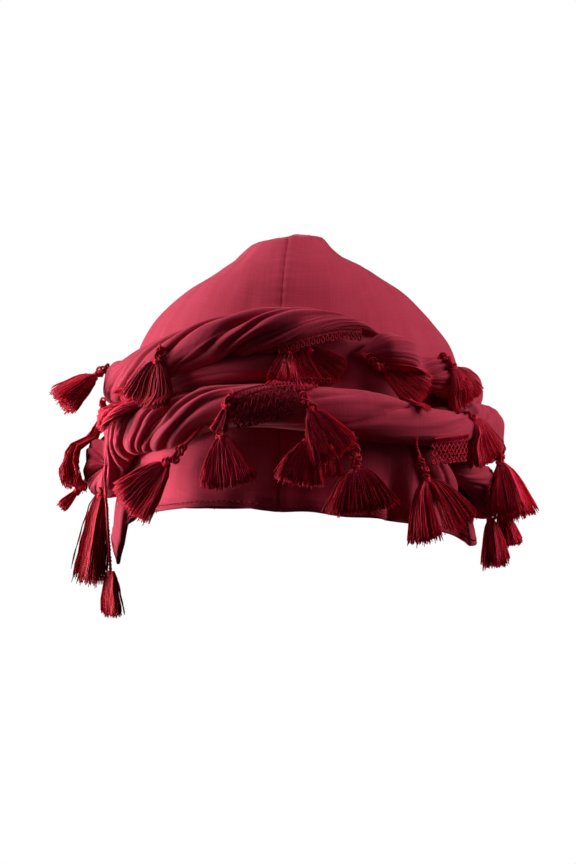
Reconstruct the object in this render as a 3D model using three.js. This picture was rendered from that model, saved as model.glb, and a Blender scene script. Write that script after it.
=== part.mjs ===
// A wound turban: a soft two-panel crown with a long tasselled scarf twisted round it, as worn.
// Millimetres, +Z up, the front faces -Y. The origin is in the middle of the head opening, level with the
// front rim. A bearing is an angle in degrees round the head: 0 in front, 90 at +X, 180 behind, -90 at -X.
import * as THREE from "three";
import { mergeVertices } from "three/addons/utils/BufferGeometryUtils.js";

// Driving sizes
const clothThickness = 1.6;
const seamGap = 0.3; // between the two crown panels
const restGap = 0.5; // between the wound scarf and the crown
const seatGap = 0.5; // between a tassel's cord and the cloth that carries it
const netGap = 0.6; // between the net border and the roll that it lies on
const netThickness = 1.2;
const tasselClearance = 1.2; // between a tassel's skirt and the cloth under it
const ridgeHeight = { left: 131.2, right: 132.4 }; // the right panel stands a little proud at the seam's top
const ridgeSag = 3; // how far the seam's top dips at both its ends
const shoulderHeight = 118.5; // above this height the two panels differ
const plainHeight = 45; // below this height the panels run plainly down to the rim
const rollCore = 0.36; // share of a roll's thickness that lies behind its middle line
const seatShare = 0.6; // share of a roll's half height, up and down, at which it meets the crown
const rollSquareness = 0.8; // under 1 makes a roll's section fuller than an ellipse
const pleatCount = 6;
const pleatFade = { none: -0.5, full: 0.3 }; // how far forward in the section the pleats begin and are full

// The crown's level sections: half widths left and right of the seam, depths before and behind the middle.
const crownSections = [
  { height: -45, left: 91, right: 80, front: 99, back: 100 },
  { height: -27, left: 88.5, right: 81.5, front: 100, back: 101 },
  { height: -8, left: 84.5, right: 82.5, front: 101, back: 102 },
  { height: 20, left: 83, right: 83, front: 102, back: 105 },
  { height: 45, left: 82.5, right: 82.5, front: 101.5, back: 106 },
  { height: 62, left: 80, right: 80.5, front: 98.5, back: 105 },
  { height: 77, left: 75, right: 75.6, front: 94, back: 102 },
  { height: 88, left: 69, right: 67.8, front: 89.5, back: 98.5 },
  { height: 97, left: 61, right: 60, front: 84, back: 94 },
  { height: 105, left: 51.4, right: 51.2, front: 78, back: 88 },
  { height: 112, left: 40, right: 40.2, front: 70.5, back: 80 },
  { height: 118.5, left: 29.8, right: 28, front: 62, back: 71 },
  { height: 124, left: 24.4, right: 18.2, front: 54, back: 61 },
  { height: 128, left: 19, right: 14.4, front: 47, back: 51 },
  { height: 132, left: 0, right: 0, front: 40, back: 36 },
];
const crownRows = [128, 124, 118.5, 112, 105, 97, 88, 77, 62, plainHeight]; // heights of the panels' rows
const rimShares = [0.4, 0.75, 1]; // rows between plainHeight and the rim
const crownColumns = {
  left: [0, 13, 26, 38, 50, 62, 74, 86, 98, 110, 124, 142, 162, 180],
  right: [0, 13, 26, 34, 38.5, 43, 49, 60, 73, 86, 100, 116, 132, 148, 164, 180],
};
// The rim dips over both ears.
const rimLine = [
  { bearing: -180, height: -3 },
  { bearing: -130, height: -4 },
  { bearing: -116, height: -6.5 },
  { bearing: -106, height: -13 },
  { bearing: -96, height: -22 },
  { bearing: -84, height: -27 },
  { bearing: -69, height: -24 },
  { bearing: -61, height: -17.5 },
  { bearing: -52, height: -9 },
  { bearing: -44, height: -3.7 },
  { bearing: -35, height: -0.5 },
  { bearing: -13, height: 2.4 },
  { bearing: 0, height: 0 },
  { bearing: 8, height: 0 },
  { bearing: 16, height: -2.3 },
  { bearing: 25, height: -3.2 },
  { bearing: 40, height: -7.3 },
  { bearing: 60, height: -14 },
  { bearing: 80, height: -21 },
  { bearing: 96, height: -19 },
  { bearing: 120, height: -10 },
  { bearing: 140, height: -5 },
  { bearing: 180, height: -3 },
];
// Soft buckles that run up from the rim: where, how wide, how far out and the height where they die away.
const crownFolds = [
  { bearing: 32.5, spread: 3, rise: -2.2, top: 34 },
  { bearing: 37.5, spread: 3.5, rise: 3.4, top: 34 },
  { bearing: -24, spread: 6, rise: 1.4, top: 30 },
];

// The scarf's turns. twist is how far the pleats turn about the roll for each degree of bearing,
// and pleat how deep they cut, as a share of the roll.
const upperTurn = [
  { bearing: -180, height: 57, halfHeight: 12, thickness: 16, twist: 4, pleat: 0.24 },
  { bearing: -130, height: 57, halfHeight: 12, thickness: 15, twist: 4, pleat: 0.24 },
  { bearing: -90, height: 58, halfHeight: 11, thickness: 12, twist: 5, pleat: 0.24 },
  { bearing: -56, height: 58.5, halfHeight: 10.2, thickness: 15, twist: 6, pleat: 0.26 },
  { bearing: -45, height: 61, halfHeight: 10.6, thickness: 17.5, twist: 6, pleat: 0.26 },
  { bearing: -33, height: 65.6, halfHeight: 11.2, thickness: 19, twist: 6, pleat: 0.24 },
  { bearing: -18, height: 73, halfHeight: 11.4, thickness: 19.5, twist: 6.5, pleat: 0.28 },
  { bearing: -6, height: 77.2, halfHeight: 11, thickness: 19.5, twist: 6.5, pleat: 0.3 },
  { bearing: 4, height: 78, halfHeight: 10.2, thickness: 19.5, twist: 5, pleat: 0.26 },
  { bearing: 12, height: 76, halfHeight: 9.6, thickness: 18.5, twist: 3.5, pleat: 0.2 },
  { bearing: 20, height: 71.8, halfHeight: 8.8, thickness: 17, twist: 2.2, pleat: 0.14 },
  { bearing: 26, height: 69.5, halfHeight: 8.6, thickness: 16.5, twist: 1.5, pleat: 0.1 },
  { bearing: 33, height: 67.6, halfHeight: 8.6, thickness: 16.5, twist: 1.5, pleat: 0.1 },
  { bearing: 43, height: 63.8, halfHeight: 8.2, thickness: 12, twist: 3, pleat: 0.16 },
  { bearing: 54, height: 59.8, halfHeight: 10.4, thickness: 14, twist: 5, pleat: 0.24 },
  { bearing: 65, height: 60.5, halfHeight: 11, thickness: 11.5, twist: 5, pleat: 0.26 },
  { bearing: 78, height: 61, halfHeight: 11, thickness: 9.5, twist: 5, pleat: 0.26 },
  { bearing: 90, height: 60.5, halfHeight: 11, thickness: 9, twist: 4, pleat: 0.26 },
  { bearing: 110, height: 58.5, halfHeight: 11.5, thickness: 11.5, twist: 4, pleat: 0.26 },
  { bearing: 130, height: 57, halfHeight: 12, thickness: 15, twist: 4, pleat: 0.24 },
  { bearing: 180, height: 57, halfHeight: 12, thickness: 16, twist: 4, pleat: 0.24 },
];
const lowerTurn = [
  { bearing: -180, height: 32, halfHeight: 12, thickness: 19, twist: 4, pleat: 0.24 },
  { bearing: -150, height: 28, halfHeight: 13, thickness: 18.5, twist: 4, pleat: 0.24 },
  { bearing: -130, height: 22, halfHeight: 14, thickness: 18.5, twist: 4, pleat: 0.24 },
  { bearing: -110, height: 18.5, halfHeight: 15, thickness: 18.5, twist: 5, pleat: 0.26 },
  { bearing: -90, height: 18, halfHeight: 15.5, thickness: 18.5, twist: 6, pleat: 0.28 },
  { bearing: -72, height: 19.5, halfHeight: 15.5, thickness: 19, twist: 7, pleat: 0.28 },
  { bearing: -62, height: 23, halfHeight: 15, thickness: 19.5, twist: 9, pleat: 0.28 },
  { bearing: -54, height: 28.5, halfHeight: 14.5, thickness: 20, twist: 12, pleat: 0.26 },
  { bearing: -47, height: 33.5, halfHeight: 14.2, thickness: 20, twist: 18, pleat: 0.26 },
  { bearing: -37, height: 35.6, halfHeight: 14.2, thickness: 20, twist: 14, pleat: 0.3 },
  { bearing: -27, height: 40.8, halfHeight: 11.6, thickness: 20, twist: 5, pleat: 0.3 },
  { bearing: -16, height: 46, halfHeight: 10, thickness: 20, twist: 4, pleat: 0.22 },
  { bearing: -5, height: 47, halfHeight: 9.8, thickness: 20, twist: 3, pleat: 0.12 },
  { bearing: 5, height: 45.8, halfHeight: 9.9, thickness: 20, twist: 2, pleat: 0.12 },
  { bearing: 14, height: 44.4, halfHeight: 10.6, thickness: 20, twist: 1.5, pleat: 0.12 },
  { bearing: 23, height: 42.6, halfHeight: 11.4, thickness: 20, twist: 1.5, pleat: 0.12 },
  { bearing: 34, height: 39.6, halfHeight: 9.6, thickness: 20, twist: 1.5, pleat: 0.12 },
  { bearing: 44, height: 37.6, halfHeight: 8.8, thickness: 19, twist: 3, pleat: 0.18 },
  { bearing: 57, height: 35.2, halfHeight: 10.4, thickness: 18.5, twist: 5, pleat: 0.22 },
  { bearing: 65, height: 36, halfHeight: 12, thickness: 18.5, twist: 5, pleat: 0.24 },
  { bearing: 73, height: 36, halfHeight: 13, thickness: 18.5, twist: 5, pleat: 0.24 },
  { bearing: 90, height: 34, halfHeight: 13.5, thickness: 18.5, twist: 4, pleat: 0.26 },
  { bearing: 110, height: 32.5, halfHeight: 13, thickness: 18.5, twist: 4, pleat: 0.24 },
  { bearing: 130, height: 31, halfHeight: 12.5, thickness: 18.5, twist: 4, pleat: 0.24 },
  { bearing: 180, height: 32, halfHeight: 12, thickness: 19, twist: 4, pleat: 0.24 },
];
// The nape's turn comes out from behind the end fold, goes round the back and dies away below the lower turn.
const napeTurn = [
  { bearing: 53, height: 19.6, halfHeight: 1.8, thickness: 4, twist: 3, pleat: 0.05 },
  { bearing: 55, height: 19.1, halfHeight: 3.2, thickness: 7, twist: 3, pleat: 0.12 },
  { bearing: 58, height: 18.2, halfHeight: 4.8, thickness: 10, twist: 3, pleat: 0.14 },
  { bearing: 62, height: 16.8, halfHeight: 6, thickness: 12, twist: 3, pleat: 0.16 },
  { bearing: 67, height: 14.8, halfHeight: 7.2, thickness: 14, twist: 3, pleat: 0.22 },
  { bearing: 75, height: 11, halfHeight: 8.8, thickness: 16, twist: 3, pleat: 0.26 },
  { bearing: 85, height: 6.5, halfHeight: 10.3, thickness: 17, twist: 3, pleat: 0.26 },
  { bearing: 95, height: 4, halfHeight: 11.3, thickness: 18, twist: 3, pleat: 0.26 },
  { bearing: 130, height: 5, halfHeight: 11.5, thickness: 18, twist: 3, pleat: 0.24 },
  { bearing: 180, height: 7.6, halfHeight: 11.2, thickness: 18, twist: 3, pleat: 0.24 },
  { bearing: 200, height: 5, halfHeight: 9.4, thickness: 16, twist: 3, pleat: 0.24 },
  { bearing: 215, height: 3, halfHeight: 7.4, thickness: 13, twist: 3, pleat: 0.22 },
  { bearing: 228, height: 1.6, halfHeight: 5, thickness: 9.5, twist: 3, pleat: 0.18 },
  { bearing: 236, height: 1, halfHeight: 3, thickness: 6.5, twist: 3, pleat: 0.1 },
  { bearing: 240, height: 0.8, halfHeight: 1.8, thickness: 4, twist: 3, pleat: 0.05 },
];
const stationStep = 7; // degrees of bearing between a roll's sections, at most
const stationTwist = 44; // degrees of twist between a roll's sections, at most

// The rounded fold below the lower turn, from its top to its tip.
const endFoldSections = [
  { bearing: 43.5, height: 27, halfWidth: 4, thickness: 5 },
  { bearing: 45, height: 22.5, halfWidth: 7, thickness: 8 },
  { bearing: 48, height: 15, halfWidth: 8.4, thickness: 10 },
  { bearing: 50.4, height: 8, halfWidth: 7.4, thickness: 9 },
  { bearing: 52, height: 4, halfWidth: 4, thickness: 5 },
];
const endFoldSides = 10;

// Net borders that lie on a roll. They run between two bearings, start at an angle about the roll at each
// end (90 is the roll's top, 0 its front) and are depth wide, of which the share drop hangs straight down.
// A plain header is followed by rows of gaps. The share bar of each gap's cell is thread on every side.
const netBorders = [
  {
    name: "net_border_front", roll: "lower", from: -9, to: 4, angleFrom: 30, angleTo: 62,
    depth: 15, drop: 0, columns: 8, rows: 3, header: 3.2, bar: 0.3,
  },
  {
    name: "net_border_right", roll: "lower", from: 43, to: 55.5, angleFrom: -22, angleTo: -18,
    depth: 14, drop: 0.75, columns: 7, rows: 4, header: 2.2, bar: 0.3,
  },
  {
    name: "net_border_top", roll: "upper", from: 11.5, to: 23, angleFrom: -48, angleTo: 18,
    depth: 5, drop: 0, columns: 11, rows: 1, header: 1.8, bar: 0.3,
  },
];

// The tassels. Each is sewn on at a bearing and height and hangs on a cord. Its skirt reaches width to
// either side at the hem, swings from the plumb line (+ is towards +X at the front) and leans out from the
// head. over lifts it above its neighbours. The first 24 hang at the front and sides, the others behind.
const tassels = [
  { bearing: -66, height: 65, cord: 3, skirt: 21, width: 12, swing: -14, lean: 54, over: 0 },
  { bearing: -84, height: 51.5, cord: 10, skirt: 29, width: 10, swing: 0, lean: 14, over: 4 },
  { bearing: -92, height: 9, cord: 5, skirt: 12, width: 6, swing: 0, lean: 40, over: 0 },
  { bearing: -36, height: 47, cord: 3, skirt: 19, width: 8, swing: -82, lean: 0, over: 2 },
  { bearing: -29, height: 73.5, cord: 2.5, skirt: 20, width: 12, swing: -16, lean: 0, over: 1 },
  { bearing: -13.4, height: 41, cord: 3, skirt: 22, width: 13, swing: 9, lean: 0, over: 0 },
  { bearing: -10.4, height: 53, cord: 2.5, skirt: 12, width: 5, swing: -28, lean: 0, over: 0 },
  { bearing: -19, height: 37.5, cord: 11, skirt: 33, width: 13, swing: -45, lean: 0, over: 0 },
  { bearing: 5, height: 72, cord: 2.5, skirt: 10, width: 5.5, swing: 16, lean: 0, over: 1 },
  { bearing: 0.8, height: 72, cord: 3, skirt: 10, width: 5, swing: -25, lean: 0, over: 0 },
  { bearing: 10, height: 71.5, cord: 3, skirt: 11, width: 5, swing: 64, lean: 0, over: 0 },
  { bearing: 6, height: 51, cord: 3, skirt: 21, width: 8, swing: 43, lean: 0, over: 1 },
  { bearing: 5.6, height: 38, cord: 4, skirt: 18, width: 9, swing: -14, lean: 0, over: 0 },
  { bearing: 11.6, height: 37, cord: 3, skirt: 13, width: 6, swing: 4, lean: 0, over: 4 },
  { bearing: 17, height: 36, cord: 11, skirt: 20, width: 17, swing: 8, lean: 0, over: 0 },
  { bearing: 25.6, height: 64, cord: 3, skirt: 24, width: 9, swing: 64, lean: 0, over: 3 },
  { bearing: 50, height: 69, cord: 2.5, skirt: 24, width: 14, swing: 25, lean: 0, over: 0 },
  { bearing: 57, height: 43, cord: 2.5, skirt: 22, width: 10, swing: 30, lean: 0, over: 0 },
  { bearing: 79, height: 27, cord: 3, skirt: 26, width: 15, swing: 2, lean: 32, over: 1 },
  { bearing: 77, height: 4, cord: 2.5, skirt: 17, width: 8, swing: 4, lean: 6, over: 0 },
  { bearing: 66, height: 10.5, cord: 11, skirt: 22, width: 9.5, swing: 2, lean: 2, over: 0 },
  { bearing: 32.6, height: 33.5, cord: 15, skirt: 26, width: 16, swing: 15, lean: 0, over: 2 },
  { bearing: -64, height: 9.5, cord: 3, skirt: 38, width: 13, swing: -8, lean: 9, over: 0 },
  { bearing: -56, height: 14.5, cord: 42, skirt: 20, width: 7, swing: -5, lean: 5, over: 0 },
  { bearing: 120, height: 56, cord: 3, skirt: 22, width: 9, swing: 4, lean: 0, over: 0 },
  { bearing: 144, height: 55, cord: 3, skirt: 23, width: 9, swing: -4, lean: 0, over: 0 },
  { bearing: 168, height: 56, cord: 3, skirt: 23, width: 9, swing: 4, lean: 0, over: 0 },
  { bearing: -168, height: 57, cord: 3, skirt: 24, width: 9, swing: -4, lean: 0, over: 0 },
  { bearing: -144, height: 57, cord: 3, skirt: 23, width: 9, swing: 4, lean: 0, over: 0 },
  { bearing: -118, height: 57, cord: 3, skirt: 24, width: 9, swing: -4, lean: 0, over: 0 },
  { bearing: 108, height: 30, cord: 3, skirt: 22, width: 8, swing: -4, lean: 0, over: 0 },
  { bearing: 132, height: 30, cord: 3, skirt: 23, width: 9, swing: 4, lean: 0, over: 0 },
  { bearing: 156, height: 31, cord: 3, skirt: 24, width: 9, swing: -4, lean: 0, over: 0 },
  { bearing: -156, height: 28, cord: 3, skirt: 24, width: 9, swing: 4, lean: 0, over: 0 },
  { bearing: -131, height: 23, cord: 3, skirt: 23, width: 9, swing: -4, lean: 0, over: 0 },
];
const tasselSides = 10;
const seatRadius = 0.7; // the cord is thinnest where it is sewn on
const cordRadius = 1.2;
const cordTaper = 1; // the cord widens into the knot over this length
const cordRise = 2; // the cord leaves the cloth squarely for this far
const fallBack = 0.3; // how fast a tassel may fall back towards the head below a ledge
const knotRadius = 2.9;
const knotFlatness = 0.9;
const neckRadius = 2;
const neckLock = 0.1;
const skirtRings = [
  { along: 0.35, spread: 0.58 },
  { along: 0.7, spread: 0.85 },
  { along: 1, spread: 1 },
];
const skirtFlatness = 0.45; // a skirt's half thickness over its half width
const lockDepth = 0.3; // how deep the grooves between a skirt's locks cut
const tipCut = 1.2; // the grooves' cut at the hem
const tipVariety = 0.8; // how far the locks' tips differ
const outside = 260; // a radius beyond everything
// Where cloth is felt for under a tassel's ring: shares of the way to the next rings and of its half width
const probeReach = [-0.8, -0.4, 0, 0.4, 0.8];
const probeWidth = [-1, -0.5, 0, 0.5, 1];

const radians = THREE.MathUtils.degToRad;
const degrees = THREE.MathUtils.radToDeg;
const lerp = THREE.MathUtils.lerp;
const smoothstep = THREE.MathUtils.smoothstep;
const around = (bearing, radius, height) =>
  new THREE.Vector3(radius * Math.sin(radians(bearing)), -radius * Math.cos(radians(bearing)), height);

const bearingOf = (point) => degrees(Math.atan2(point.x, -point.y));

const squarer = (value) => Math.sign(value) * Math.abs(value) ** rollSquareness;

// Reads a table smoothly between its rows, which rise in the column named by key. Both its ends are flat.
function reader(rows, key) {
  const slope = (index, column) => {
    if (index === 0 || index === rows.length - 1) return 0;
    const before = rows[index - 1];
    const after = rows[index + 1];
    return (after[column] - before[column]) / (after[key] - before[key]);
  };
  return (at, column) => {
    const next = rows.findIndex((row) => row[key] >= at);
    const i = THREE.MathUtils.clamp(next < 0 ? rows.length : next, 1, rows.length - 1) - 1;
    const span = rows[i + 1][key] - rows[i][key];
    const t = THREE.MathUtils.clamp((at - rows[i][key]) / span, 0, 1);
    const ease = t * t * (3 - 2 * t);
    const leave = slope(i, column) * span * t * (1 - t) * (1 - t);
    const arrive = slope(i + 1, column) * span * t * t * (t - 1);
    return rows[i][column] * (1 - ease) + rows[i + 1][column] * ease + leave + arrive;
  };
}

const crownAt = reader(crownSections, "height");
const rimAt = reader(rimLine, "bearing");

// The crown's radius at a bearing and height, on the smooth outer surface.
function crownRadius(bearing, height) {
  const sin = Math.sin(radians(bearing));
  const cos = Math.cos(radians(bearing));
  const across = sin / crownAt(height, sin < 0 ? "left" : "right");
  const deep = cos / crownAt(height, cos < 0 ? "back" : "front");
  return 1 / Math.hypot(across, deep);
}

// A closed body from its points and triangles, facing out.
function body(points, triangles) {
  const geometry = new THREE.BufferGeometry().setFromPoints(points);
  geometry.setIndex(triangles);
  let volume = 0;
  for (let i = 0; i < triangles.length; i += 3) {
    const [a, b, c] = triangles.slice(i, i + 3).map((index) => points[index]);
    volume += a.dot(new THREE.Vector3().crossVectors(b, c));
  }
  if (volume < 0) geometry.setIndex(triangles.toReversed());
  return mergeVertices(geometry, 1e-4);
}

const quad = (a, b, c, d) => [a, b, c, a, c, d];

// A body lofted through rings of equal count. A loop joins its last ring to its first, others get ends.
function loft(rings, loop) {
  const sides = rings[0].length;
  const points = rings.flat();
  const triangles = [];
  const bands = loop ? rings.length : rings.length - 1;
  for (let band = 0; band < bands; band++) {
    for (let k = 0; k < sides; k++) {
      const here = band * sides;
      const next = ((band + 1) % rings.length) * sides;
      triangles.push(...quad(here + k, here + ((k + 1) % sides), next + ((k + 1) % sides), next + k));
    }
  }
  if (!loop) {
    for (const [start, flip] of [[0, true], [(rings.length - 1) * sides, false]]) {
      const middle = points.length;
      const ring = points.slice(start, start + sides);
      points.push(ring.reduce((sum, p) => sum.add(p), new THREE.Vector3()).divideScalar(sides));
      for (let k = 0; k < sides; k++) {
        const pair = [start + k, start + ((k + 1) % sides)];
        triangles.push(...(flip ? pair.toReversed() : pair), middle);
      }
    }
  }
  return body(points, triangles);
}

// A wall between two grids of points, outer and inner, with its edges closed all round.
function wall(outer, inner) {
  const rows = outer.length;
  const columns = outer[0].length;
  const points = [...outer.flat(), ...inner.flat()];
  const out = (row, column) => row * columns + column;
  const inn = (row, column) => rows * columns + out(row, column);
  const triangles = [];
  for (let row = 0; row < rows - 1; row++) {
    for (let column = 0; column < columns - 1; column++) {
      triangles.push(
        ...quad(out(row, column), out(row, column + 1), out(row + 1, column + 1), out(row + 1, column)),
        ...quad(inn(row, column), inn(row + 1, column), inn(row + 1, column + 1), inn(row, column + 1)),
      );
    }
  }
  const edge = (a, b) => triangles.push(...quad(out(...b), out(...a), inn(...a), inn(...b)));
  for (let column = 0; column < columns - 1; column++) {
    edge([0, column], [0, column + 1]);
    edge([rows - 1, column + 1], [rows - 1, column]);
  }
  for (let row = 0; row < rows - 1; row++) {
    edge([row + 1, 0], [row, 0]);
    edge([row, columns - 1], [row + 1, columns - 1]);
  }
  return body(points, triangles);
}

// How far the crown's soft buckles stand out at a bearing and height.
function buckle(bearing, height) {
  return crownFolds.reduce((sum, fold) => {
    const off = (bearing - fold.bearing) / fold.spread;
    const fade = 1 - smoothstep(height, rimAt(bearing, "height"), fold.top);
    return sum + fold.rise * Math.exp(-off * off) * fade;
  }, 0);
}

// One crown panel: side is "left" or "right".
function crownPanel(side) {
  const sign = side === "left" ? -1 : 1;
  const ridge = crownSections.at(-1).height;
  const stretch = (ridgeHeight[side] - shoulderHeight) / (ridge - shoulderHeight);
  const pointAt = (column, height) => {
    const angle = radians(column);
    const depth = crownAt(height, column <= 90 ? "front" : "back");
    const x = sign * crownAt(height, side) * Math.sin(angle);
    const y = -depth * Math.cos(angle);
    const point = new THREE.Vector3(x, y, height);
    const radius = Math.hypot(x, y);
    const level = height + Math.max(height - shoulderHeight, 0) * (stretch - 1);
    const sag = height === ridge ? ridgeSag * Math.cos(angle) ** 2 : 0;
    return around(bearingOf(point), radius + buckle(bearingOf(point), height), level - sag);
  };
  const columns = crownColumns[side];
  const rows = [];
  for (const height of [ridge, ...crownRows]) rows.push(columns.map((column) => pointAt(column, height)));
  for (const share of rimShares) {
    rows.push(columns.map((column) => {
      const rim = rimAt(bearingOf(pointAt(column, plainHeight)), "height");
      return pointAt(column, lerp(plainHeight, rim, share));
    }));
  }
  const onSeam = (row, column) => row === 0 || column === 0 || column === columns.length - 1;
  const inner = rows.map((points, row) => points.map((point, column) => {
    const up = rows[Math.max(row - 1, 0)][column];
    const down = rows[Math.min(row + 1, rows.length - 1)][column];
    const before = points[Math.max(column - 1, 0)];
    const after = points[Math.min(column + 1, columns.length - 1)];
    const along = new THREE.Vector3().subVectors(after, before);
    const normal = new THREE.Vector3().subVectors(down, up).cross(along).multiplyScalar(sign);
    if (onSeam(row, column)) normal.setX(0);
    return point.clone().addScaledVector(normal.normalize(), -clothThickness);
  }));
  for (const grid of [rows, inner]) {
    grid.forEach((points, row) => points.forEach((point, column) => {
      if (onSeam(row, column)) point.setX((sign * seamGap) / 2);
    }));
  }
  return wall(rows, inner);
}

// A turn of the scarf as a function: its section at a bearing, seated on the crown and leaning with it.
function turnOf(rows) {
  const read = reader(rows, "bearing");
  const first = rows[0].bearing;
  const last = rows.at(-1).bearing;
  const loop = last - first === 360;
  const phases = [0];
  for (let bearing = first; bearing < last; bearing++) {
    phases.push(phases.at(-1) + read(bearing + 0.5, "twist"));
  }
  const whole = Math.round(phases.at(-1) / 360) * 360;
  const scale = loop ? whole / phases.at(-1) : 1;
  const phaseAt = (bearing) => {
    const i = Math.min(Math.floor(bearing - first), phases.length - 2);
    return scale * lerp(phases[i], phases[i + 1], bearing - first - i);
  };
  // A point of the section at an angle about the roll, sunk by a share of the roll and lifted off it.
  const pointAt = (bearing, angle, sink = 0, lift = 0) => {
    const height = read(bearing, "height");
    const half = read(bearing, "halfHeight");
    const thick = read(bearing, "thickness");
    const low = crownRadius(bearing, height - seatShare * half);
    const high = crownRadius(bearing, height + seatShare * half);
    const along = new THREE.Vector2(high - low, 2 * seatShare * half).normalize();
    const out = new THREE.Vector2(along.y, -along.x);
    const bulge = Math.max(0, crownRadius(bearing, height) - (low + high) / 2);
    const cos = squarer(Math.cos(radians(angle)));
    const sin = squarer(Math.sin(radians(angle)));
    const depth = cos > 0 ? rollCore + (1 - rollCore) * cos : rollCore * (1 + cos);
    const keep = 1 - sink * smoothstep(cos, pleatFade.none, pleatFade.full);
    const stand = bulge + restGap + thick * (rollCore + (depth - rollCore) * keep);
    const flat = new THREE.Vector2((low + high) / 2, height)
      .addScaledVector(out, stand + lift * cos)
      .addScaledVector(along, half * sin * keep + lift * sin);
    return around(bearing, flat.x, flat.y);
  };
  return { read, first, last, loop, phaseAt, pointAt };
}

const turns = { upper: turnOf(upperTurn), lower: turnOf(lowerTurn), nape: turnOf(napeTurn) };

// A turn of the scarf as a pleated roll: the pleats' ridges and valleys are the edges between its rings.
function pleatedRoll(turn) {
  const stations = [turn.first];
  while (stations.at(-1) < turn.last) {
    const bearing = stations.at(-1);
    const step = Math.min(stationStep, stationTwist / turn.read(bearing, "twist"));
    stations.push(Math.min(turn.last, bearing + step));
  }
  if (turn.loop) stations.pop();
  const rings = stations.map((bearing) => {
    const ring = [];
    for (let k = 0; k < 2 * pleatCount; k++) {
      const angle = turn.phaseAt(bearing) + (k * 180) / pleatCount;
      ring.push(turn.pointAt(bearing, angle, k % 2 ? turn.read(bearing, "pleat") : 0));
    }
    return ring;
  });
  return loft(rings, turn.loop);
}

// The rounded fold of cloth that hangs out below the lower turn.
function endFold() {
  const rings = endFoldSections.map((row) => {
    const ring = [];
    const cloth = crownRadius(row.bearing, row.height) + buckle(row.bearing, row.height);
    const middle = cloth + restGap + row.thickness / 2;
    const across = around(row.bearing + 90, 1, 0);
    const out = around(row.bearing, 1, 0);
    for (let k = 0; k < endFoldSides; k++) {
      const angle = (2 * Math.PI * k) / endFoldSides;
      ring.push(around(row.bearing, middle, row.height)
        .addScaledVector(across, row.halfWidth * Math.cos(angle))
        .addScaledVector(out, (row.thickness / 2) * Math.sin(angle)));
    }
    return ring;
  });
  return loft(rings, false);
}

// A net border: a header and rows of square gaps cut through, following a roll and then hanging plumb.
function netBorder(net) {
  const turn = turns[net.roll];
  const surface = (u, depth, lift) => {
    const bearing = lerp(net.from, net.to, u);
    const start = lerp(net.angleFrom, net.angleTo, u);
    const onRoll = Math.min(depth, net.depth * (1 - net.drop));
    const turned = degrees(onRoll / turn.read(bearing, "halfHeight"));
    const point = turn.pointAt(bearing, start - turned, 0, netGap + lift);
    return point.setZ(point.z - (depth - onRoll));
  };
  const points = [];
  const triangles = [];
  const add = (u, depth) => {
    points.push(surface(u, depth, netThickness), surface(u, depth, 0));
    return points.length - 2;
  };
  // The two faces between four corners. A corner is its outer point's index and its inner point comes next.
  const patch = (a, b, c, d) => {
    triangles.push(...quad(a, b, c, d), ...quad(a + 1, d + 1, c + 1, b + 1));
  };
  const side = (a, b) => triangles.push(...quad(b, a, a + 1, b + 1));
  const depths = [0, net.header];
  for (let row = 1; row <= net.rows; row++) depths.push(lerp(net.header, net.depth, row / net.rows));
  for (let row = 0; row < depths.length - 1; row++) {
    for (let column = 0; column < net.columns; column++) {
      const [left, right] = [column / net.columns, (column + 1) / net.columns];
      const [top, bottom] = [depths[row], depths[row + 1]];
      const corners = [add(left, top), add(right, top), add(right, bottom), add(left, bottom)];
      if (row === 0) {
        patch(...corners);
      } else {
        const across = (right - left) * net.bar;
        const down = (bottom - top) * net.bar;
        const hole = [
          add(left + across, top + down), add(right - across, top + down),
          add(right - across, bottom - down), add(left + across, bottom - down),
        ];
        for (let k = 0; k < 4; k++) {
          const next = (k + 1) % 4;
          patch(corners[k], corners[next], hole[next], hole[k]);
          side(hole[next], hole[k]);
        }
      }
      if (row === 0) side(corners[0], corners[1]);
      if (row === depths.length - 2) side(corners[2], corners[3]);
      if (column === 0) side(corners[3], corners[0]);
      if (column === net.columns - 1) side(corners[1], corners[2]);
    }
  }
  return body(points, triangles);
}

const caster = new THREE.Raycaster();

// Where a level line from outside towards the head's axis first meets the carriers.
function meet(carriers, bearing, height) {
  caster.set(around(bearing, outside, height), around(bearing, -1, 0));
  return caster.intersectObjects(carriers)[0];
}

// A tassel's rings from its seat to its hem: how far along, half width, flatness and depth of grooves.
function tasselStations(row) {
  const knot = row.cord + knotRadius;
  const neck = knot + knotRadius;
  return [
    { at: 0, width: seatRadius, flat: 1, lock: 0 },
    { at: row.cord - cordTaper, width: cordRadius, flat: 1, lock: 0 },
    { at: knot, width: knotRadius, flat: knotFlatness, lock: 0 },
    { at: neck, width: neckRadius, flat: knotFlatness, lock: neckLock },
    ...skirtRings.map((ring) => ({
      at: neck + ring.along * row.skirt,
      width: ring.spread * row.width,
      flat: skirtFlatness,
      lock: lockDepth,
    })),
  ];
}

// The radius of the outermost cloth under a tassel's ring, felt for along its path and across its width.
function clothUnder(carriers, pathAt, across, station, before, after) {
  let radius = 0;
  for (const along of probeReach) {
    const reach = along < 0 ? station.at - before : after - station.at;
    for (const aside of probeWidth) {
      const spot = pathAt(station.at + along * reach).addScaledVector(across, aside * station.width);
      const under = meet(carriers, bearingOf(spot), spot.z);
      if (under) radius = Math.max(radius, Math.hypot(under.point.x, under.point.y));
    }
  }
  return radius;
}

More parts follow.
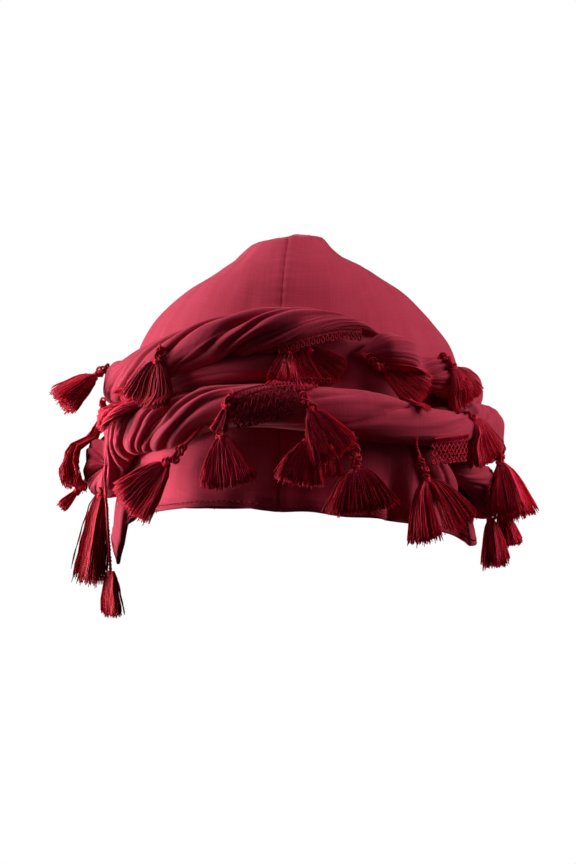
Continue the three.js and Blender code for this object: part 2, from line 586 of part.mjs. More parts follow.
// A tassel: cord, knotted head and a skirt of locks, one body that rests on the cloth under it.
function tassel(row, carriers) {
  const seat = meet(carriers, row.bearing, row.height);
  const square = seat.face.normal;
  const start = seat.point.clone().addScaledVector(square, seatGap);
  const [swing, lean] = [radians(row.swing), radians(row.lean)];
  const hang = new THREE.Vector3(0, 0, -Math.cos(swing) * Math.cos(lean))
    .addScaledVector(around(row.bearing + 90, 1, 0), Math.sin(swing) * Math.cos(lean))
    .addScaledVector(around(row.bearing, 1, 0), Math.sin(lean));
  const pathAt = (at) => start.clone()
    .addScaledVector(square, Math.min(at, cordRise))
    .addScaledVector(hang, Math.max(at - cordRise, 0));
  const stations = tasselStations(row);
  const hem = stations.at(-1);
  let radius = 0;
  const rings = stations.map((station, index) => {
    const before = stations[Math.max(index - 1, 0)].at;
    const after = stations[Math.min(index + 1, stations.length - 1)].at;
    const centre = pathAt(station.at);
    const bearing = bearingOf(centre);
    const seated = index === 0;
    const out = seated ? square : around(bearing, 1, 0);
    const forward = seated ? hang : hang.clone().addScaledVector(out, -hang.dot(out)).normalize();
    const across = new THREE.Vector3().crossVectors(forward, out).normalize();
    const depth = seated ? new THREE.Vector3().crossVectors(across, out) : out;
    if (!seated) {
      const clear = station.width * station.flat + tasselClearance + (index > 1 ? row.over : 0);
      const cloth = clothUnder(carriers, pathAt, across, station, before, after);
      const fallen = radius - fallBack * (station.at - before);
      radius = Math.max(Math.hypot(centre.x, centre.y), cloth + clear, fallen);
      centre.copy(around(bearing, radius, centre.z));
    }
    const ring = [];
    for (let k = 0; k < tasselSides; k++) {
      const angle = (2 * Math.PI * k) / tasselSides;
      const groove = k % 2 === 1;
      const size = station.width * (groove ? 1 - station.lock : 1);
      const tip = groove ? -tipCut : tipVariety * Math.sin(3 * k + row.bearing);
      ring.push(centre.clone()
        .addScaledVector(across, size * Math.cos(angle))
        .addScaledVector(depth, size * station.flat * Math.sin(angle))
        .addScaledVector(forward, station === hem ? tip : 0));
    }
    return ring;
  });
  return loft(rings, false);
}

const cloth = new THREE.MeshStandardMaterial({ color: 0x94283e, roughness: 0.9, metalness: 0 });
const net = new THREE.MeshStandardMaterial({ color: 0x6d1428, roughness: 0.85, metalness: 0 });
const thread = new THREE.MeshStandardMaterial({ color: 0x7c1022, roughness: 0.55, metalness: 0 });

const turban = new THREE.Group();
function addMesh(name, geometry, material) {
  const mesh = new THREE.Mesh(geometry, material);
  mesh.name = name;
  turban.add(mesh);
  return mesh;
}

for (const side of ["left", "right"]) addMesh("crown_" + side, crownPanel(side), cloth);
for (const [name, turn] of Object.entries(turns)) addMesh(name + "_wrap", pleatedRoll(turn), cloth);
addMesh("end_fold", endFold(), cloth);
for (const row of netBorders) addMesh(row.name, netBorder(row), net);
const carriers = [...turban.children];
tassels.forEach((row, index) => {
  addMesh("tassel_" + String(index + 1).padStart(2, "0"), tassel(row, carriers), thread);
});

export default turban;
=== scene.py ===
import math

import bpy
import numpy as np
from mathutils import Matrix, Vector
from mathutils.bvhtree import BVHTree


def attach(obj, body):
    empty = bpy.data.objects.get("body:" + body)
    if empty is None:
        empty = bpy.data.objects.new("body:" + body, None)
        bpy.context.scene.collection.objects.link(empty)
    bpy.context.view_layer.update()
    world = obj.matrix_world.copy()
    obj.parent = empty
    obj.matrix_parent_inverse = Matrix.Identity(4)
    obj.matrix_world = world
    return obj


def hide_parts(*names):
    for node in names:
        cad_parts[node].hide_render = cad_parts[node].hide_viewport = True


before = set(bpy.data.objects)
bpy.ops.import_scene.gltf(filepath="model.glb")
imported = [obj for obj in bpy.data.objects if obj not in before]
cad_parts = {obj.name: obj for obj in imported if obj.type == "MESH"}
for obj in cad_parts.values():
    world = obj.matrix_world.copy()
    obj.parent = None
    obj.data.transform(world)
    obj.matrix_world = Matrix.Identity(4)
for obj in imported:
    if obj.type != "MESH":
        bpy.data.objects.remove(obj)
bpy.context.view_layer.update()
mm = 0.001                                # sizes are in millimetres until a mesh is made
print("frame loaded,", len(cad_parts), "nodes")

# the view of the photograph: level, a little to the wearer's left
view = dict(turn=4.8, aim=(-4, 0, 36), away=1250, lens=106.3, near=50)
camera = bpy.data.objects.new("camera", bpy.data.cameras.new("camera"))
bpy.context.scene.collection.objects.link(camera)
bpy.context.scene.camera = camera
turn = math.radians(view["turn"])
back = Vector((math.sin(turn), -math.cos(turn), 0))
camera.location = (Vector(view["aim"]) + back * view["away"]) * mm
camera.rotation_mode = "QUATERNION"
camera.rotation_quaternion = (-back).to_track_quat("-Z", "Y")
camera.data.lens = view["lens"]
camera.data.clip_start = view["near"] * mm


class Value:                              # a node's output that can stand in a sum
    def __init__(self, nodes, socket):
        self.nodes = nodes
        self.socket = socket

    def out(self, name):
        return Value(self.nodes, self.socket.node.outputs[name])

    def work(self, operation, a, b):
        return self.nodes.add("ShaderNodeMath", {"operation": operation}, {0: a, 1: b})

    def __add__(self, other):
        return self.work("ADD", self, other)

    def __radd__(self, other):
        return self.work("ADD", other, self)

    def __sub__(self, other):
        return self.work("SUBTRACT", self, other)

    def __rsub__(self, other):
        return self.work("SUBTRACT", other, self)

    def __mul__(self, other):
        return self.work("MULTIPLY", self, other)

    def __rmul__(self, other):
        return self.work("MULTIPLY", other, self)


class Nodes:                              # a node tree that is filled by one method, add
    def __init__(self, tree):
        self.tree = tree

    def join(self, value, socket):
        if isinstance(value, Value):
            self.tree.links.new(value.socket, socket)
        else:
            socket.default_value = value

    def add(self, kind, settings, sockets, out=0):
        node = self.tree.nodes.new(kind)
        for name, setting in settings.items():
            setattr(node, name, setting)
        for key, value in sockets.items():
            self.join(value, node.inputs[key])
        return Value(self, node.outputs[out])

    def marks(self, name):                # what addPiece stored at each point
        return self.add("ShaderNodeAttribute", {"attribute_name": name}, {}, "Vector")

    def split(self, vector):              # its X; .out("Y") and .out("Z") give the others
        return self.add("ShaderNodeSeparateXYZ", {}, {0: vector})

    def mix(self, share, a, b):           # two colours
        return self.add("ShaderNodeMix", {"data_type": "RGBA"}, {0: share, 6: a, 7: b}, 2)

    def scaled(self, vector, factors):
        return self.add("ShaderNodeVectorMath", {"operation": "MULTIPLY"}, {0: vector, 1: factors})

    def noise(self, vector, scale, detail):
        return self.add("ShaderNodeTexNoise", {}, {"Vector": vector, "Scale": scale, "Detail": detail})

    def sine(self, value):
        return self.add("ShaderNodeMath", {"operation": "SINE"}, {0: value})

    def spread(self, value, low, high):   # low..high becomes 0..1
        return self.add("ShaderNodeMapRange", {}, {"Value": value, "From Min": low, "From Max": high})

    def bump(self, strength, depth, height):
        return self.add("ShaderNodeBump", {}, {"Strength": strength, "Distance": depth, "Height": height})


def newFinish(name, fixed):
    material = bpy.data.materials.new(name)
    material.use_nodes = True
    nodes = Nodes(material.node_tree)
    shader = material.node_tree.nodes["Principled BSDF"]
    for socket, value in fixed.items():
        shader.inputs[socket].default_value = value
    return material, nodes, shader


# burgundy slub cloth: a fine plain weave, uneven threads both ways, faint worn patches
clothLook = dict(
    body=(0.43, 0.021, 0.054, 1), deep=(0.35, 0.014, 0.04, 1), worn=(0.47, 0.034, 0.074, 1),
    pitch=0.62, weaveHeight=0.08,
    slub=(0.035, 1.5, 1), cross=(1.3, 0.03, 1), slubDetail=3, slubTone=(0.34, 0.66), slubHeight=1.4,
    patch=0.045, patchDetail=4, patchTone=(0.5, 0.85), patchShare=0.5,
    relief=0.35, reliefDepth=0.0004)


def clothFinish(name):
    material, nodes, shader = newFinish(name, {
        "Roughness": 0.86, "Specular IOR Level": 0.22, "Sheen Weight": 0.1, "Sheen Roughness": 0.4,
        "Sheen Tint": (1, 0.5, 0.58, 1)})
    threads = nodes.marks("threads")
    run = nodes.split(threads)
    beat = math.pi / clothLook["pitch"]
    weave = nodes.sine(run * beat) * nodes.sine(run.out("Y") * beat)
    weft = nodes.noise(nodes.scaled(threads, clothLook["slub"]), 1, clothLook["slubDetail"])
    warp = nodes.noise(nodes.scaled(threads, clothLook["cross"]), 1, clothLook["slubDetail"])
    patches = nodes.noise(threads, clothLook["patch"], clothLook["patchDetail"])
    slub = weft * 0.5 + warp * 0.5
    tone = nodes.mix(nodes.spread(slub, *clothLook["slubTone"]), clothLook["deep"], clothLook["body"])
    wear = nodes.spread(patches, *clothLook["patchTone"]) * clothLook["patchShare"]
    nodes.join(nodes.mix(wear, tone, clothLook["worn"]), shader.inputs["Base Color"])
    height = weave * clothLook["weaveHeight"] + slub * clothLook["slubHeight"]
    bump = nodes.bump(clothLook["relief"], clothLook["reliefDepth"], height)
    nodes.join(bump, shader.inputs["Normal"])
    return material


# silky crimson thread: each strand has a tone of its own, with faint streaks along it and a fine twist
threadLook = dict(dark=(0.21, 0.003, 0.012, 1), bright=(0.88, 0.017, 0.068, 1), ownTone=0.75,
                  streak=(40, 0.12, 0), streakDetail=2, ply=1.4, relief=0.1, reliefDepth=0.0002)


def threadFinish(name, lightness):
    material, nodes, shader = newFinish(name, {
        "Roughness": 0.55, "Specular IOR Level": 0.08, "Sheen Weight": 0.02, "Sheen Roughness": 0.4,
        "Sheen Tint": (1, 0.4, 0.45, 1), "Subsurface Weight": 0.5, "Subsurface Scale": 0.0008})
    strand = nodes.marks("strand")
    run = nodes.split(strand)
    streaks = nodes.noise(nodes.scaled(strand, threadLook["streak"]), 1, threadLook["streakDetail"])
    share = run * threadLook["ownTone"] + streaks * (1 - threadLook["ownTone"])
    tone = nodes.mix(share * lightness, threadLook["dark"], threadLook["bright"])
    nodes.join(tone, shader.inputs["Base Color"])
    twist = nodes.sine(run.out("Y") * (2 * math.pi / threadLook["ply"]) + run.out("Z"))
    bump = nodes.bump(threadLook["relief"], threadLook["reliefDepth"], twist)
    nodes.join(bump, shader.inputs["Normal"])
    return material


burgundyCloth = clothFinish("burgundyCloth")
silkyThread = threadFinish("silkyThread", 1.0)
crochetThread = threadFinish("crochetThread", 0.55)
# painted shade: a near-black thread for the nets and loops that lie in shade at the front and under the upper
# turn; the hem stitches are sewn with the same dark thread
darkAndPaintedShadeThread = threadFinish("darkAndPaintedShadeThread", 0.12)
print("finishes mixed")

lattice = np.random.default_rng(7).uniform(-1, 1, (97, 89))      # the fixed heights that drift blends


def drift(x, y):                          # soft noise from -1 to 1, one swell per unit
    x, y = np.broadcast_arrays(np.asarray(x, float), np.asarray(y, float))
    i = np.floor(x).astype(int)
    j = np.floor(y).astype(int)
    u = x - i
    v = y - j
    u = u * u * (3 - 2 * u)
    v = v * v * (3 - 2 * v)

    def corner(a, b):
        return lattice[a % lattice.shape[0], b % lattice.shape[1]]

    top = corner(i, j) * (1 - u) + corner(i + 1, j) * u
    low = corner(i, j + 1) * (1 - u) + corner(i + 1, j + 1) * u
    return top * (1 - v) + low * v


def ease(value, low, high):               # 0 at low, 1 at high, smooth at both
    t = np.clip((value - low) / (high - low), 0, 1)
    return t * t * (3 - 2 * t)


def bell(value, wide):
    return np.exp(-(value / wide) ** 2)


def smoothTable(rows):                    # reads a table smoothly by its first column, flat at both ends
    data = np.array(rows, float)
    keys = data[:, 0]
    values = data[:, 1:]
    slopes = np.zeros_like(values)
    slopes[1:-1] = (values[2:] - values[:-2]) / (keys[2:] - keys[:-2])[:, None]

    def read(at):
        at = np.asarray(at, float)
        i = np.clip(np.searchsorted(keys, at) - 1, 0, len(keys) - 2)
        span = (keys[i + 1] - keys[i])[..., None]
        t = np.clip((at - keys[i])[..., None] / span, 0, 1)
        s = t * t * (3 - 2 * t)
        leave = slopes[i] * span * t * (1 - t) ** 2
        arrive = slopes[i + 1] * span * t * t * (t - 1)
        return np.moveaxis(values[i] * (1 - s) + values[i + 1] * s + leave + arrive, -1, 0)

    return read


def compass(bearing, radius, height):     # bearing 0 is the front, 90 the wearer's left
    b = np.radians(bearing)
    return np.stack(np.broadcast_arrays(radius * np.sin(b), -radius * np.cos(b), height), -1)


def unit(vectors):
    return vectors / np.maximum(np.linalg.norm(vectors, axis=-1, keepdims=True), 1e-9)


def gridFaces(rows, columns, loopRows=False, loopColumns=False):
    r = np.arange(rows if loopRows else rows - 1)[:, None]
    c = np.arange(columns if loopColumns else columns - 1)[None, :]
    here = r * columns
    below = (r + 1) % rows * columns
    nextColumn = (c + 1) % columns
    corners = [here + c, here + nextColumn, below + nextColumn, below + c]
    return np.stack(corners, -1).reshape(-1, 4)


def gridNormals(points):
    down, across = np.gradient(points, axis=(0, 1))
    return unit(np.cross(across, down))


threadSides = 5                           # corners of a thread's section, where it shows large
aslant = np.array([0.31, 0.52, 0.79])     # any way that no thread starts in


def tubes(paths, radii, sides=threadSides, closed=False):
    # paths has a row of points for each thread; the marks are its tone, run along it and turn round it
    paths = np.asarray(paths, float)
    count, steps = paths.shape[:2]
    if closed:
        tangent = unit(np.roll(paths, -1, 1) - np.roll(paths, 1, 1))
    else:
        tangent = unit(np.gradient(paths, axis=1))
    side = np.cross(tangent[:, 0], aslant)
    carried = []                          # the side is carried along, so that the tube doesn't twist
    for k in range(steps):
        side = unit(side - (side * tangent[:, k]).sum(-1, keepdims=True) * tangent[:, k])
        carried.append(side)
    side = np.stack(carried, 1)
    other = np.cross(tangent, side)
    radii = np.broadcast_to(radii, (count, steps))[..., None, None]
    turnRound = np.arange(sides) * 2 * np.pi / sides
    ring = np.cos(turnRound)[:, None] * side[:, :, None] + np.sin(turnRound)[:, None] * other[:, :, None]
    points = (paths[:, :, None] + radii * ring).reshape(-1, 3)
    one = gridFaces(steps, sides, loopRows=closed, loopColumns=True)
    starts = np.arange(count) * steps * sides
    faces = (one[None] + starts[:, None, None]).reshape(-1, 4).tolist()
    if not closed:
        for first in starts.tolist():
            last = first + (steps - 1) * sides
            faces.append(list(range(first, first + sides))[::-1])
            faces.append(list(range(last, last + sides)))
    length = np.linalg.norm(np.diff(paths, axis=1), axis=-1).cumsum(1)
    length = np.concatenate([np.zeros((count, 1)), length], 1)
    tone = np.random.default_rng(count + steps).uniform(0, 1, count)
    marks = np.stack(np.broadcast_arrays(tone[:, None, None], length[..., None], turnRound), -1)
    return points, faces, marks.reshape(-1, 3)


def gather(parts):                        # several sets of points, faces and marks in one
    points = []
    faces = []
    marks = []
    start = 0
    for p, f, m in parts:
        points.append(p)
        marks.append(m)
        faces.extend([[k + start for k in face] for face in f])
        start += len(p)
    return np.concatenate(points), faces, np.concatenate(marks)


def addPiece(name, points, faces, finish, markName, marks, nodes):
    mesh = bpy.data.meshes.new(name)
    mesh.from_pydata((np.asarray(points) * mm).tolist(), [], faces)
    mesh.polygons.foreach_set("use_smooth", np.ones(len(mesh.polygons), bool))
    attribute = mesh.attributes.new(markName, "FLOAT_VECTOR", "POINT")
    attribute.data.foreach_set("vector", np.asarray(marks, np.float32).ravel())
    mesh.materials.append(finish)
    mesh.update()
    piece = bpy.data.objects.new(name, mesh)
    bpy.context.scene.collection.objects.link(piece)
    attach(piece, "root")
    if nodes:
        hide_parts(*nodes)
    return piece


# the cap: level sections (level, left, right, front, back; left and right as the camera sees them), its rim
# (bearing, level) and the soft buckles above the rim (bearing, width, rise, the level where they end)
cap = dict(
    sections=[
        (-45, 92, 88, 99, 100), (-27, 90, 87.5, 100, 101), (-8, 88, 86, 101, 102), (20, 84, 84, 102, 105),
        (45, 82.5, 82.5, 101.5, 106), (62, 80, 80.5, 98.5, 105), (77, 75, 75.6, 94, 102),
        (88, 69, 67.8, 89.5, 98.5), (97, 61, 60, 84, 94), (105, 51.4, 51.2, 78, 88),
        (112, 40, 40.2, 70.5, 80), (115.4, 34.8, 34.8, 66.5, 76), (118.5, 29.8, 28, 62, 71),
        (121.3, 26.9, 22.5, 58, 66), (125.2, 22.4, 17.2, 52, 58), (127.2, 18.8, 15.2, 48.5, 52),
        (129.2, 9.4, 13.6, 45, 47), (131.2, 0, 10.5, 41, 39), (132.4, 0, 0, 36, 33)],
    rim=[
        (-180, -3), (-130, -4), (-116, -6.5), (-106, -10), (-96, -13.5), (-84, -16), (-71, -20.5),
        (-65, -25), (-60, -26.4), (-57, -17), (-54.5, -9), (-51.5, -5.2), (-48, -3.6), (-43, -2.4),
        (-35, -0.4), (-13, 2.4), (0, 0), (8, 0), (16, -2.3), (25, -3.2), (40, -7.3), (60, -13),
        (80, -18.8), (96, -17.5), (120, -10), (140, -5), (180, -3)],
    buckles=[(32.5, 2.8, -6, 38), (38.2, 3.4, 5.5, 38), (26, 4, 2, 38), (-24, 6, 1.4, 30)],
    ridge=dict(left=131.2, right=132.4), ridgeDip=3, dipTall=2.5,
    plain=45,                             # rows are level down to here, and lower ones lean to the rim
    columns=140, fineRows=600, topRows=66, lowRows=36, wall=1.2, seamLap=0.06,
    lip=0.16, lipAt=2.4, lipWide=1.6, groove=0.55, grooveWide=0.8,
    pucker=0.22, puckerReach=6, puckerUp=0.85, puckerBack=0.6,
    swells=[(0.9, 19, 3, 26), (0.35, 6, 0, 13)],     # height, degrees, shift, run down
    pull=0.3, pullAt=88, pullTall=15, pullDegrees=3.1, pullRun=38,
    hang=0.6, hangFrom=40, hangTo=5, hangDegrees=4.5, hangRun=30,
    calm=9, hem=8, hemStep=1, hemProud=0.55)
capAt = smoothTable(cap["sections"])
rimTable = smoothTable(cap["rim"])


def rimAt(bearing):
    return rimTable(bearing)[0]


def capRadius(bearing, level):
    left, right, front, behind = capAt(level)
    s = np.sin(np.radians(bearing))
    c = np.cos(np.radians(bearing))
    return 1 / np.hypot(s / np.where(s < 0, left, right), c / np.where(c < 0, behind, front))


def buckle(bearing, level):
    total = 0
    for middle, wide, rise, top in cap["buckles"]:
        total = total + rise * bell(bearing - middle, wide) * (1 - ease(level, rimAt(bearing), top))
    return total


def capRelief(aside, points, bearing, level):        # how far the cloth stands off the plain form
    lip = cap["lip"] * bell(aside - cap["lipAt"], cap["lipWide"])
    groove = cap["groove"] * bell(aside, cap["grooveWide"])
    waves = np.sin(points[..., 2] * cap["puckerUp"] + points[..., 1] * cap["puckerBack"])
    pucker = cap["pucker"] * np.exp(-aside / cap["puckerReach"]) * waves
    swell = sum(high * drift(bearing / degrees + shift, level / run)
                for high, degrees, shift, run in cap["swells"])
    pull = cap["pull"] * bell(level - cap["pullAt"], cap["pullTall"])
    pull = pull * drift(bearing / cap["pullDegrees"], level / cap["pullRun"])
    hang = cap["hang"] * ease(level, cap["hangFrom"], cap["hangTo"])
    hang = hang * drift(bearing / cap["hangDegrees"], level / cap["hangRun"])
    hem = 1 - ease(level - rimAt(bearing), cap["hem"] - cap["hemStep"], cap["hem"])
    calm = ease(aside, 0, cap["calm"])    # the cloth lies still beside the seam
    return lip - groove + pucker + (swell + pull + hang) * calm + cap["hemProud"] * hem


def capPanel(side):
    sign = -1 if side == "left" else 1
    half = 0 if side == "left" else 1     # this side's place in a section
    fine = np.linspace(cap["ridge"][side], cap["plain"], cap["fineRows"])
    run = np.concatenate([[0], np.hypot(np.diff(fine), np.diff(capAt(fine)[half])).cumsum()])
    top = np.interp(np.linspace(0, run[-1], cap["topRows"]), run, fine)
    theta = np.radians(np.linspace(0, 180, cap["columns"]))

    def place(level):
        section = capAt(level)
        front, behind = section[2:]
        x = sign * section[half] * np.sin(theta)
        y = -np.where(theta <= np.pi / 2, front, behind) * np.cos(theta)
        return x, y

    x, y = place(np.full(len(theta), cap["plain"]))
    bearing = np.degrees(np.arctan2(x, -y))
    share = np.linspace(0, 1, cap["lowRows"])[1:, None]
    low = cap["plain"] * (1 - share) + rimAt(bearing) * share
    level = np.concatenate([np.repeat(top[:, None], len(theta), 1), low])
    x, y = place(level)
    bearing = np.degrees(np.arctan2(x, -y))
    out = 1 + buckle(bearing, level) / np.maximum(np.hypot(x, y), 1)
    dip = cap["ridgeDip"] * np.cos(theta) ** 2 * bell(cap["ridge"][side] - level, cap["dipTall"])
    points = np.stack([x * out, y * out, level - dip], -1)
    normal = gridNormals(points) * -sign
    aside = np.abs(x)
    points = points + normal * capRelief(aside, points, bearing, level)[..., None]
    onSeam = aside < 1e-6                 # the panels lap a little where they are sewn
    points[..., 0] = np.where(onSeam, -sign * cap["seamLap"] / 2, points[..., 0])
    across = np.cumsum(np.linalg.norm(np.diff(points, axis=1, prepend=points[:, :1]), axis=-1), 1)
    down = np.cumsum(np.linalg.norm(np.diff(points, axis=0, prepend=points[:1]), axis=-1), 0)
    marks = np.stack([across, down, np.zeros_like(down)], -1)
    faces = gridFaces(*level.shape)
    if side == "right":
        faces = faces[:, ::-1]
    return points.reshape(-1, 3), faces.tolist(), marks.reshape(-1, 3)


soft = []                                 # everything that a tassel can rest on
for side in ("left", "right"):
    points, faces, marks = capPanel(side)
    soft.append((points, faces, marks))
    panel = addPiece("cap" + side.capitalize(), points, faces, burgundyCloth, "threads", marks,
                     ["crown_" + side])
    wall = panel.modifiers.new("wall", "SOLIDIFY")
    wall.thickness = cap["wall"] * mm
    wall.offset = -1
print("cap panels made")


# the row of stitches that holds the hem
stitches = dict(length=1.9, pitch=2.7, above=2.6, thick=0.2, ends=179.0, proud=0.5,
                run=(0, 0.2, 0.5, 0.8, 1), lift=(-0.5, 0.25, 0.35, 0.25, -0.5))
starts = []
bearing = -stitches["ends"]
while bearing < stitches["ends"]:
    radius = capRadius(bearing, 0.0)
    starts.append((bearing, np.degrees(stitches["length"] / radius)))
    bearing += np.degrees(stitches["pitch"] / radius)
starts = np.array(starts)
along = starts[:, :1] + starts[:, 1:] * np.array(stitches["run"])
level = rimAt(along) + stitches["above"]
lift = cap["hemProud"] + np.array(stitches["lift"])
radius = capRadius(along, level) + buckle(along, level) + lift + stitches["proud"]
points, faces, marks = tubes(compass(along, radius, level), stitches["thick"])
addPiece("hemStitches", points, faces, darkAndPaintedShadeThread, "strand", marks, [])
print("hem sewn,", len(starts), "stitches")


# the scarf's turns: bearing, level, half height, thickness, twist, pleat depth. Each is a roll that leans on
# the cap, and its pleats run round it as the twist says. The upper turn begins under its own tapered end.
upperWrap = dict(
    turn=[
        (20.5, 71, 1, 1.5, 1, 0.02), (22.5, 71, 1.8, 2.6, 1, 0.05), (24.5, 71, 4, 6, 1.2, 0.06),
        (26.5, 71, 7, 13, 1.3, 0.07), (29, 70.6, 8.2, 16.6, 1.5, 0.07), (36, 67.8, 8, 16, 2, 0.08),
        (39.5, 65, 7.2, 10.5, 3, 0.12), (43, 63.8, 6.6, 5.5, 4, 0.2), (48, 61.8, 8.4, 10, 5, 0.26),
        (54, 59.2, 10.2, 13, 5, 0.28), (65, 56.5, 9.2, 10, 5, 0.28), (78, 54.8, 8.6, 9, 5, 0.28),
        (90, 54.6, 8.6, 9, 4, 0.28), (110, 56.5, 10.5, 11.5, 4, 0.26), (130, 57, 12, 15, 4, 0.26),
        (180, 57, 12, 16, 4, 0.26), (230, 57, 12, 15, 4, 0.26), (270, 58, 11, 12, 5, 0.24),
        (304, 58.5, 10.2, 15, 4.4, 0.22), (315, 61, 10.6, 17.5, 4, 0.24), (327, 65.6, 11.2, 19, 4, 0.28),
        (342, 73, 11.4, 19.5, 4, 0.46), (354, 77.4, 11.2, 19.5, 3.6, 0.52), (360, 79, 10.6, 19.5, 3.4, 0.5),
        (366, 80.6, 8.4, 18.5, 4, 0.3), (371, 82, 6, 15, 3.4, 0.28), (377, 82.8, 3.6, 11, 3, 0.22),
        (384, 82, 1.8, 7, 2.5, 0.15), (391, 79.6, 0.9, 3, 2, 0.05)],
    pleats=8, fine=0.7, crisp=0.46, creases=[], hollows=[], fill=0.7)
lowerWrap = dict(
    turn=[
        (-180, 32, 12, 19, 4, 0.26), (-150, 28, 13, 18.5, 4, 0.26), (-130, 22, 14, 18.5, 4, 0.26),
        (-110, 18.5, 15, 18.5, 4, 0.3), (-90, 18, 15.5, 18.5, 3, 0.4), (-72, 19.5, 15.5, 18.5, 3, 0.46),
        (-62, 23, 15, 18, 4, 0.5), (-54, 31.5, 13, 18, 8, 0.5), (-47, 36, 12, 20, 15, 0.36),
        (-40, 37.6, 12, 20.5, 16, 0.34), (-34, 38.8, 12, 20, 11, 0.34), (-27, 40.8, 11.6, 20, 5, 0.34),
        (-16, 46, 10, 20, 4, 0.22), (-5, 47, 9.8, 20, 3, 0.12), (5, 45.8, 9.9, 20, 2, 0.08),
        (14, 44.4, 10.6, 20, 1.5, 0.06), (23, 42.6, 11.4, 20, 1.5, 0.05), (34, 39.6, 9.6, 20, 1.5, 0.07),
        (44, 37.6, 8.8, 19, 3, 0.16), (57, 35.2, 10.4, 18.5, 5, 0.22), (65, 36, 12, 18.5, 5, 0.22),
        (73, 36, 13, 18.5, 5, 0.22), (90, 34, 13.5, 18.5, 4, 0.26), (110, 32.5, 13, 18.5, 4, 0.26),
        (130, 31, 12.5, 18.5, 4, 0.26), (180, 32, 12, 19, 4, 0.26)],
    pleats=7, fine=0.34, crisp=0.56,
    creases=[(15, -42, 34, 56, 0.26, 8), (6, 10, 20, 60, 0.12, 9), (-36, -58, -18, 78, 0.42, 13)],
    hollows=[(-67, 18, 10.5, 58, 1.0)], fill=0.75)
napeWrap = dict(
    turn=[
        (53, 19.6, 1.4, 3.5, 3, 0.05), (55, 19.1, 3.2, 7, 3, 0.12), (58, 18.2, 4.8, 10, 3, 0.14),
        (62, 16.8, 6, 12, 4, 0.16), (67, 14.8, 7.2, 14, 4, 0.22), (75, 11, 8.8, 16, 4, 0.26),
        (85, 6.5, 10.3, 17, 3, 0.28), (95, 4, 11.3, 18, 3, 0.28), (130, 5, 11.5, 18, 3, 0.26),
        (180, 7.6, 11.2, 18, 3, 0.26), (200, 5, 9.4, 16, 3, 0.26), (215, 3, 7.4, 13, 3, 0.24),
        (228, 1.6, 5, 9.5, 3, 0.2), (236, 1, 3, 6.5, 3, 0.12), (240, 0.8, 1.4, 3.5, 3, 0.05)],
    pleats=6, fine=0.3, crisp=0.62, creases=[], hollows=[], fill=0.65)
innerWrap = dict(                         # a smooth fold of the upper turn that shows in the gap at the front
    turn=[
        (-44, 55, 1.4, 2.5, 1, 0.03), (-40, 56, 4, 7, 1, 0.05), (-30, 59, 6, 10, 1, 0.1),
        (-18, 62, 6.4, 11, 1, 0.14), (-8, 63.2, 6.6, 11, 1, 0.12), (-2, 63.4, 6.4, 9.5, 1, 0.1),
        (1.5, 63.2, 5.8, 7.5, 1, 0.08), (3.6, 63, 3, 4, 1, 0.05), (4.6, 63, 1.2, 2, 1, 0.03)],
    pleats=5, fine=0.2, crisp=0.62, creases=[], hollows=[], fill=0.5)
rollShape = dict(core=0.36, seat=0.6, square=0.8, rest=0.5, fadeFrom=-0.5, fadeTo=0.3)
pleatShape = dict(
    fineStep=0.2, station=1.15, stationTwist=7, perPleat=14, closeCalm=14, sinkRange=(-0.2, 0.95),
    uneven=(0.05, 0.035), wander=[(0.3, 17, 0, 0.6, 11), (0.12, 6, 0, 1, 5)],
    come=0.75, comeStray=(0.65, 19, 7, 0.9, 0),
    fineCount=2.4, fineShift=0.3, fineCrisp=0.7, fineCome=0.5, fineStray=(1.1, 11, 2, 1.3, 4),
    tightTwist=(6, 12), tightPlain=0.85, tightCrisp=0.4, dent=0.06, dentDegrees=9, dentTurn=80,
    creaseIn=(-0.05, 0.2), creaseOut=(0.8, 1.05), creaseCrisp=1.3, hollowCrisp=6,
    clothAlong=112, clothRound=72)


def squarer(value):
    return np.sign(value) * np.abs(value) ** rollShape["square"]


def onRoll(read, bearing, angle, sink=0.0, lift=0.0):    # angle 0 is the roll's front, 90 its top
    level, half, thick = read(bearing)[:3]
    reach = rollShape["seat"] * half
    low = capRadius(bearing, level - reach)
    high = capRadius(bearing, level + reach)
    size = np.hypot(high - low, 2 * reach)
    upR = (high - low) / size
    upZ = 2 * reach / size
    bulge = np.maximum(0, capRadius(bearing, level) - (low + high) / 2)
    c = squarer(np.cos(np.radians(angle)))
    s = squarer(np.sin(np.radians(angle)))
    core = rollShape["core"]
    depth = np.where(c > 0, core + (1 - core) * c, core * (1 + c))
    keep = 1 - sink * ease(c, rollShape["fadeFrom"], rollShape["fadeTo"])
    stand = bulge + rollShape["rest"] + thick * (core + (depth - core) * keep) + lift * c
    rise = half * s * keep + lift * s
    return compass(bearing, (low + high) / 2 + upZ * stand + upR * rise, level - upR * stand + upZ * rise)


def stray(row, b, fold):                  # amount, degrees and shift along, rate and shift fold by fold
    amount, degrees, ahead, rate, shift = row
    return amount * drift(b / degrees + ahead, fold * rate + shift)


def offAngle(angle, middle):              # the shorter way round, -180 to 180
    return (angle - middle + 180) % 360 - 180


